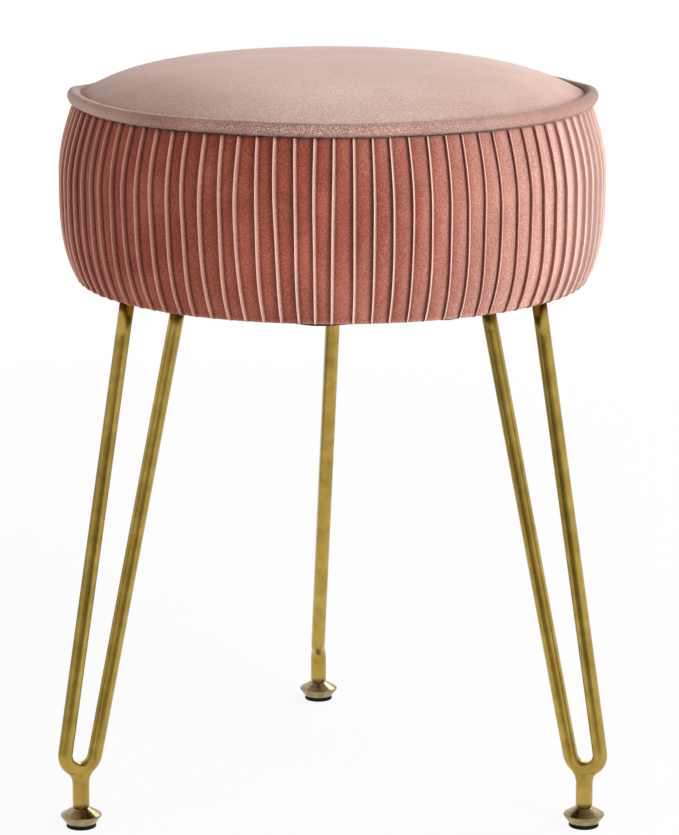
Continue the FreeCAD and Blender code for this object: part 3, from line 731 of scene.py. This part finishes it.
def make_piping(finish, filler_finish):
    """Piping: a tube round the ring, a little uneven and pinched by each stitch, and its filler cord."""
    turn = np.linspace(0, TAU, PIPING_COLUMNS, endpoint=False)[None, :]
    round_tube = np.linspace(0, TAU, PIPING_ROWS, endpoint=False)[:, None]
    thick = PIPING_RADIUS * (1 + PIPING_UNEVENNESS * ripple(turn, 0, 8, waves=8, most_turns=40))
    underneath = np.clip(-np.sin(round_tube), 0, 1) ** 2
    puckers = PUCKER_DEPTH * underneath * np.sin(TUCK_COUNT * turn + 2 * ripple(turn, 0, 9))
    bumps = PIPING_BUMPS * ripple(turn, 0.02 * round_tube, 10, waves=14, most_turns=260, most_rises=6)
    ring = PIPING_RING_RADIUS + PIPING_WANDER * ripple(turn, 0, 11, waves=6, most_turns=9)
    lift = PIPING_WANDER * ripple(turn, 0, 12, waves=6, most_turns=8) - seam_sink(turn)
    tube = thick + puckers + bumps
    points = around(ring + tube * np.cos(round_tube), turn,
                    PIPING_HEIGHT + lift + tube * np.sin(round_tube))
    piping = new_piece("piping_velvet", points, finish, "stool", "velvet", ["piping_cover"],
                       piping_shares(turn, round_tube, underneath), wrap_rows=True)
    filler = around(ring + FILLER_RADIUS * np.cos(round_tube), turn,
                    PIPING_HEIGHT + lift + FILLER_RADIUS * np.sin(round_tube))
    new_piece("filler_cord", filler, filler_finish, "stool", "cord_filler", ["piping_cord"], wrap_rows=True)


def make_dust_cover(finish):
    """Non-woven cloth under the seat: flat between its staples, with a loose rim that hangs in waves."""
    low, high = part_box("dust_cover")
    outer = high.x
    turn = np.linspace(0, TAU, DUST_COVER_COLUMNS, endpoint=False)[None, :]
    share = np.concatenate([np.linspace(0, 0.9, 14), np.linspace(0.92, 1, 8)])[:, None]
    radius = outer * share
    wave = ripple(turn, 0, 13, waves=8, most_turns=26)
    loose = bell(np.degrees(turn), *LOOSE_RIM_MIDDLE) + 0.8 * bell(np.degrees(turn), *LOOSE_RIM_RIGHT)
    droop = RIM_HANG + RIM_WAVE * np.clip(wave, 0, 1) * (1 - loose) + LOOSE_RIM_HANG * loose
    hang = droop * smooth_step(STAPLED_RADIUS, outer, radius)
    uneven = 1 + 0.4 * ripple(turn, radius, 14, waves=5, most_turns=5)
    sag = DUST_COVER_SAG * (1 - share ** 2) * uneven
    lower = around(radius, turn, low.z - hang - sag)
    upper = lower[::-1] + np.array([0, 0, DUST_COVER_THICKNESS])
    cloth = new_piece("dust_cover_cloth", np.concatenate([lower, upper]), finish, "stool",
                      "black_fleece", ["dust_cover"], poles=True)


# Feet

def rounded(corners, radius, steps=4):
    """Outline with each inner corner swapped for a small arc, cut no deeper than half of either side."""
    corners = [Vector(corner) for corner in corners]
    outline = [corners[0]]
    for before, corner, after in zip(corners, corners[1:], corners[2:]):
        back = before - corner
        ahead = after - corner
        cut = min(radius, back.length / 2, ahead.length / 2)
        start = corner + back.normalized() * cut
        end = corner + ahead.normalized() * cut
        outline += [bent(start, corner, end, step / steps) for step in range(steps + 1)]
    outline.append(corners[-1])
    return np.array([tuple(point) for point in outline])


def make_turned(name, outline, centre, finish, body, slot, stands_for):
    """Piece turned on a lathe: an outline of (radius, height), from the bottom pole to the top one."""
    turn = np.linspace(0, TAU, TURNED_COLUMNS, endpoint=False)[None, :]
    points = around(outline[:, :1], turn, outline[:, 1:]) + np.array([centre.x, centre.y, 0])
    new_piece(name, points, finish, body, slot, stands_for, poles=True)


def middle(node):
    """Middle of a node's box."""
    low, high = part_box(node)
    return (low + high) / 2


def make_foot_disc(side, finish):
    """Two shallow cones rim to rim, with a narrow land between them and softened edges."""
    node = "foot_disc_" + side
    low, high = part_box(node)
    rim = (high.z - low.z) * DISC_RIM_SHARE + low.z
    outline = rounded([(0, low.z), (DISC_BASE_RADIUS - EDGE_CHAMFER, low.z),
                       (DISC_BASE_RADIUS, low.z + EDGE_CHAMFER),
                       (DISC_RIM_RADIUS - DISC_BEVEL, rim - RIM_LAND_BELOW), (DISC_RIM_RADIUS, rim),
                       (DISC_RIM_RADIUS - DISC_SMALL_BEVEL, rim + RIM_LAND_ABOVE),
                       (DISC_NECK_RADIUS, high.z - DISC_SMALL_BEVEL),
                       (DISC_NECK_RADIUS - DISC_BEVEL, high.z), (0, high.z)], radius=DISC_BEVEL)
    make_turned("foot_disc_turned_" + side, outline, middle("foot_pad_" + side), finish, "screw_" + side,
                "antique_brass", [node])


def make_foot_pad(side, finish):
    """Rubber pad with one groove round it, and its peg hidden in the disc."""
    node = "foot_pad_" + side
    low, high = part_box(node)
    groove = low.z + GROOVE_HEIGHT
    top = low.z + PAD_HEIGHT
    outline = rounded([(0, low.z), (PAD_RADIUS - EDGE_CHAMFER, low.z), (PAD_RADIUS, low.z + EDGE_CHAMFER),
                       (PAD_RADIUS, groove - GROOVE_HALF), (PAD_RADIUS - EDGE_CHAMFER, groove),
                       (PAD_RADIUS, groove + GROOVE_HALF), (PAD_RADIUS, top), (PEG_RADIUS, top),
                       (PEG_RADIUS, high.z), (0, high.z)], radius=EDGE_CHAMFER / 2)
    make_turned("foot_pad_rubber_" + side, outline, middle(node), finish, "pad_" + side, "black_rubber",
                [node])


def to_heading(points, side):
    """Points drawn out along +X, turned about the vertical axis to a leg's heading."""
    heading = math.radians(LEG_HEADINGS_DEG[side])
    spin = np.array([[math.cos(heading), math.sin(heading), 0], [-math.sin(heading), math.cos(heading), 0],
                     [0, 0, 1]])
    return points @ spin


def make_weld_stub(side, finish):
    """Bored stub that flares into the bend: a curve from its side to a line on the rod, all the way round.

    The rod's underside at (along, beside) is the outside of a ring of the bend's radius. Two more rings
    on the straight side keep its shading even.
    """
    node = "foot_socket_" + side
    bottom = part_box(node)[0].z
    centre = middle("foot_pad_" + side)
    turn = np.linspace(0, TAU, TURNED_COLUMNS, endpoint=False)
    along = WELD_HALF_LENGTH * np.cos(turn)
    beside = WELD_HALF_WIDTH * np.sin(turn)
    ring = BEND_RADIUS + np.sqrt(ROD_RADIUS ** 2 - beside ** 2)
    meet_height = BEND_CENTRE_HEIGHT - np.sqrt(ring ** 2 - along ** 2) + WELD_OVERLAP
    corner_height = (1 - FLARE_CORNER_SHARE) * FLARE_START + FLARE_CORNER_SHARE * meet_height
    start = around(STUB_RADIUS, turn, FLARE_START)
    corner = around(STUB_RADIUS, turn, corner_height)
    meet = np.stack([along, beside, meet_height], 1)
    flare = [bent(start, corner, meet, way) for way in np.linspace(0, 1, FLARE_ROWS)]
    outline = [(0, BORE_TOP), (BORE_RADIUS, BORE_TOP), (BORE_RADIUS, bottom),
               (STUB_RADIUS - EDGE_CHAMFER, bottom)]
    outline += [(STUB_RADIUS, bottom + ring_height) for ring_height in (EDGE_CHAMFER, *STUB_RINGS)]
    straight = [around(radius, turn, height) for radius, height in outline]
    top = np.tile([0, 0, BEND_CENTRE_HEIGHT - BEND_RADIUS], (len(turn), 1))
    points = to_heading(np.array(straight + flare + [top]), side) + np.array([centre.x, centre.y, 0])
    new_piece("weld_stub_" + side, points, finish, "stool", "gold_lacquer", [node], poles=True)


# Hairpin rods

def rod_line(samples=14, bend_samples=30):
    """Middle line of a hairpin as (radius, height), down the outer rod, round the bend and up the inner.

    Each rod runs straight from its top to where its line touches the circle of the bend.
    """
    centre = np.array([FOOT_CIRCLE_RADIUS, BEND_CENTRE_HEIGHT])
    top_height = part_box("hairpin_left")[1].z
    ends = {}
    for radius, way in ((OUTER_ROD_TOP, 1), (INNER_ROD_TOP, -1)):
        run = centre - [radius, top_height]
        swing = way * math.asin(BEND_RADIUS / math.hypot(*run))
        ends[way] = math.atan2(run[1], run[0]) + swing + way * math.pi / 2
    bend_turn = np.linspace(ends[1], ends[-1], bend_samples)
    bend = centre + BEND_RADIUS * np.stack([np.cos(bend_turn), np.sin(bend_turn)], 1)
    way = np.linspace(0, 1, samples)[:-1, None]
    outer = np.array([OUTER_ROD_TOP, top_height]) * (1 - way) + bend[0] * way
    inner = bend[-1] * way[::-1] + np.array([INNER_ROD_TOP, top_height]) * (1 - way[::-1])
    return np.concatenate([outer, bend, inner])


def make_hairpin(side, finish):
    """Round bar along the rod's middle line, cut flat at the plate; the back one leans a little."""
    line = rod_line()
    ahead = np.gradient(line, axis=0)
    ahead /= np.linalg.norm(ahead, axis=1, keepdims=True)
    turn = np.linspace(0, TAU, ROD_COLUMNS, endpoint=False)
    across = ROD_RADIUS * np.cos(turn)
    along = line[:, None, 0] - across * ahead[:, None, 1]
    height = line[:, None, 1] + across * ahead[:, None, 0]
    beside = np.broadcast_to(ROD_RADIUS * np.sin(turn), along.shape)
    for end in (0, -1):
        cut = line[end, 1] - height[end]
        along[end] += cut * ahead[end, 0] / ahead[end, 1]
        height[end] += cut
    points = np.stack([along, beside, height], -1)
    first, last = (points[end].mean(0) + np.zeros_like(points[end]) for end in (0, -1))
    points = np.concatenate([[first], points, [last]])
    lean = math.radians(BACK_LEAN_DEG) if side == "back" else 0.0
    over = points[..., 2] - LEAN_PIVOT_HEIGHT
    leaning = points[..., 1] * math.cos(lean) - over * math.sin(lean)
    raised = LEAN_PIVOT_HEIGHT + points[..., 1] * math.sin(lean) + over * math.cos(lean)
    points = to_heading(np.stack([points[..., 0], leaning, raised], -1), side)
    new_piece("hairpin_rod_" + side, points, finish, "stool", "gold_lacquer", ["hairpin_" + side],
              poles=True)


# Studio

def make_panel(name, corners, height, material):
    """Flat panel of the studio, between four (x, y) corners."""
    mesh = bpy.data.meshes.new(name)
    mesh.from_pydata([(x, y, height) for x, y in corners], [], [(0, 1, 2, 3)])
    mesh.materials.append(material)
    panel = add_object(name, mesh)
    return panel


def square(half):
    """Corners of a square round the stool's axis."""
    return [(-half, -half), (half, -half), (half, half), (-half, half)]


def seen_directly(tree):
    """1 for rays from the camera, from gloss and through glass, and 0 for the light falling on things."""
    rays = add_node(tree, "ShaderNodeLightPath").outputs
    gloss = add_node(tree, "ShaderNodeMath", links={0: rays["Is Camera Ray"], 1: rays["Is Glossy Ray"]},
                     operation="ADD")
    glass = add_node(tree, "ShaderNodeMath", links={0: gloss.outputs[0], 1: rays["Is Transmission Ray"]},
                     operation="ADD", use_clamp=True)
    return glass.outputs[0]


def make_floor():
    """Wide pale floor that reads as white, and keeps a little of the stool's shadow close to it."""
    material = bpy.data.materials.new("pale_floor")
    tree = blank_tree(material)
    matt = add_node(tree, "ShaderNodeBsdfDiffuse", {"Color": linear("#f4f3f1")})
    white = add_node(tree, "ShaderNodeEmission", {"Color": WHITE, "Strength": 1.0})
    place = add_node(tree, "ShaderNodeTexCoord").outputs["Object"]
    away = add_node(tree, "ShaderNodeVectorMath", links={0: place}, operation="LENGTH").outputs["Value"]
    whiteness = add_node(tree, "ShaderNodeMapRange", {"From Min": 0.35, "From Max": 1.5, "To Min": 0.9,
                                                      "To Max": 1.0}, {"Value": away}).outputs["Result"]
    share = add_node(tree, "ShaderNodeMath", links={0: seen_directly(tree), 1: whiteness},
                     operation="MULTIPLY").outputs[0]
    mixed = add_node(tree, "ShaderNodeMixShader", links={0: share, 1: matt.outputs[0], 2: white.outputs[0]})
    add_node(tree, "ShaderNodeOutputMaterial", links={"Surface": mixed.outputs[0]})
    make_panel("floor", square(FLOOR_HALF), 0.0, material)


def make_world():
    """Weak, slightly blue light from all round; the camera and gloss see plain white instead."""
    world = bpy.data.worlds.new("studio")
    bpy.context.scene.world = world
    tree = blank_tree(world)
    ambient = add_node(tree, "ShaderNodeBackground", {"Color": linear("#f2f1f5"), "Strength": 0.20})
    white = add_node(tree, "ShaderNodeBackground", {"Color": WHITE, "Strength": 1.0})
    mixed = add_node(tree, "ShaderNodeMixShader", links={0: seen_directly(tree), 1: ambient.outputs[0],
                                                         2: white.outputs[0]})
    add_node(tree, "ShaderNodeOutputWorld", links={"Surface": mixed.outputs[0]})


def make_dark_card(name, corners, height, glow=0.0):
    """Dark card that only shows in gloss: the unlit side of the studio, mirrored by the metal."""
    material = bpy.data.materials.new(name)
    tree = blank_tree(material)
    grey = add_node(tree, "ShaderNodeEmission", {"Color": (glow, glow, glow, 1)})
    add_node(tree, "ShaderNodeOutputMaterial", links={"Surface": grey.outputs[0]})
    card = make_panel(name, corners, height, material)
    card.visible_camera = False
    card.visible_diffuse = False
    card.visible_transmission = False
    card.visible_shadow = False


def make_dark_cards():
    """Black floor in front of the feet, and grey floor to the left and grey ceiling over the stool."""
    make_dark_card("dark_floor_card", [(-0.35, -0.36), (0.22, -0.36), (4.6, -9.0), (-12.0, -9.0)],
                   FLOOR_CARD_HEIGHT)
    make_dark_card("grey_floor_card", [(-0.40, -0.30), (-13.0, -8.0), (-13.0, 13.0), (-0.45, 0.60)],
                   FLOOR_CARD_HEIGHT, glow=GREY_CARD_GLOW)
    make_dark_card("grey_ceiling_card", square(CEILING_CARD_HALF), CEILING_CARD_HEIGHT, glow=GREY_CARD_GLOW)


def make_lamp(name, place, width, height, power, mirrored=False):
    """Softbox aimed at the seat; unless it is mirrored, the metal shows the white studio in its place."""
    light = bpy.data.lights.new(name, "AREA")
    light.shape = "RECTANGLE"
    light.size = width
    light.size_y = height
    light.energy = power
    lamp = add_object(name, light)
    lamp.location = place
    lamp.visible_glossy = mirrored
    lamp.rotation_mode = "QUATERNION"
    lamp.rotation_quaternion = (Vector(SEAT_MIDDLE) - lamp.location).to_track_quat("-Z", "Y")


def make_lamps():
    """Key at the front right, one at the right, one behind that the metal mirrors, and a weak left one."""
    make_lamp("key_softbox", (1.25, -1.25, 0.85), width=0.8, height=1.1, power=28.5)
    make_lamp("right_softbox", (1.6, 0.45, 0.75), width=0.8, height=1.2, power=22)
    make_lamp("back_softbox", (0.7, 1.7, 1.4), width=1.2, height=0.8, power=14, mirrored=True)
    make_lamp("left_fill", (-1.5, -1.2, 0.75), width=0.9, height=1.2, power=12)


def make_camera():
    """Camera at the fitted place: its axes come from how far it looks down and left, and from its roll."""
    down = math.radians(CAMERA_DOWN_DEG)
    left = math.radians(CAMERA_LEFT_DEG)
    roll = math.radians(CAMERA_ROLL_DEG)
    ahead = Vector((-math.sin(left) * math.cos(down), math.cos(left) * math.cos(down), -math.sin(down)))
    right = ahead.cross(Vector((0, 0, 1))).normalized()
    up = right.cross(ahead)
    rolled_right = math.cos(roll) * right + math.sin(roll) * up
    rolled_up = math.cos(roll) * up - math.sin(roll) * right
    turned = Matrix((rolled_right, rolled_up, -ahead)).transposed()
    data = bpy.data.cameras.new("camera")
    data.sensor_width = SENSOR_MM
    data.lens = FOCAL_PIXELS * SENSOR_MM / max(PICTURE_WIDTH, PICTURE_HEIGHT)
    camera = add_object("camera", data)
    camera.matrix_world = Matrix.Translation(CAMERA_PLACE) @ turned.to_4x4()
    bpy.context.scene.camera = camera


make_camera()
finishes = make_materials()
dress_model(finishes)
make_side_band(finishes["tuck_velvet"])
make_top_cover(finishes["crown_velvet"])
make_piping(finishes["piping_velvet"], finishes["cord_filler"])
make_dust_cover(finishes["fleece"])
for side in LEG_HEADINGS_DEG:
    make_hairpin(side, finishes["gold"])
    make_weld_stub(side, finishes["gold"])
    make_foot_disc(side, finishes["brass"])
    make_foot_pad(side, finishes["rubber"])
make_floor()
make_dark_cards()
make_world()
make_lamps()
bpy.context.scene.view_settings.view_transform = "Standard"
